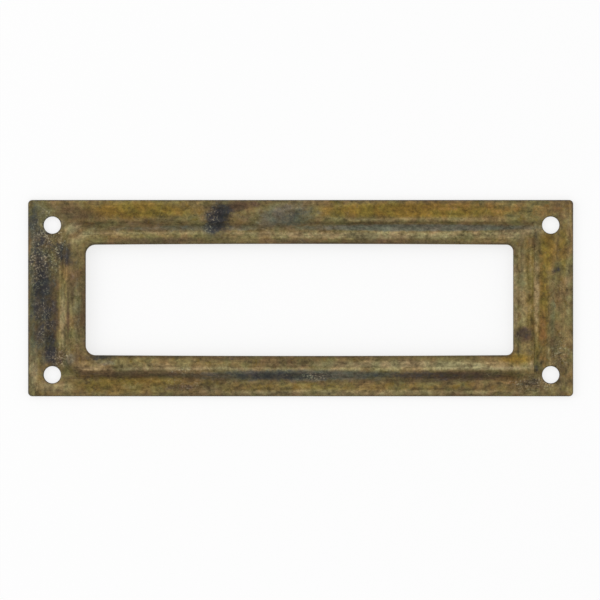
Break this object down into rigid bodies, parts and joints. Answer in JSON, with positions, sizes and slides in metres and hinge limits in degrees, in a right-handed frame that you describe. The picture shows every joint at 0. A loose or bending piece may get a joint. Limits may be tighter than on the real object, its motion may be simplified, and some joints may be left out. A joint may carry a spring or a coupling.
{
  "type": "label holder",
  "caption": "Pressed sheet-brass label holder for a drawer front: flat flange with corner screw holes, raised border round a window, and an end slot for a card.",
  "frame": {"origin": "centre of the blank's outline, on the plane of its back", "axes": "+X along the long side towards the end where the card goes in, +Y towards the upper long side, +Z out of the front"},
  "size_m": [0.0794, 0.0286, 0.0017],
  "materials": {
    "aged_brass": "aged and stained, satin"
  },
  "bodies": {
    "root": {"label_holder": "aged_brass"}
  },
  "joints": []
}
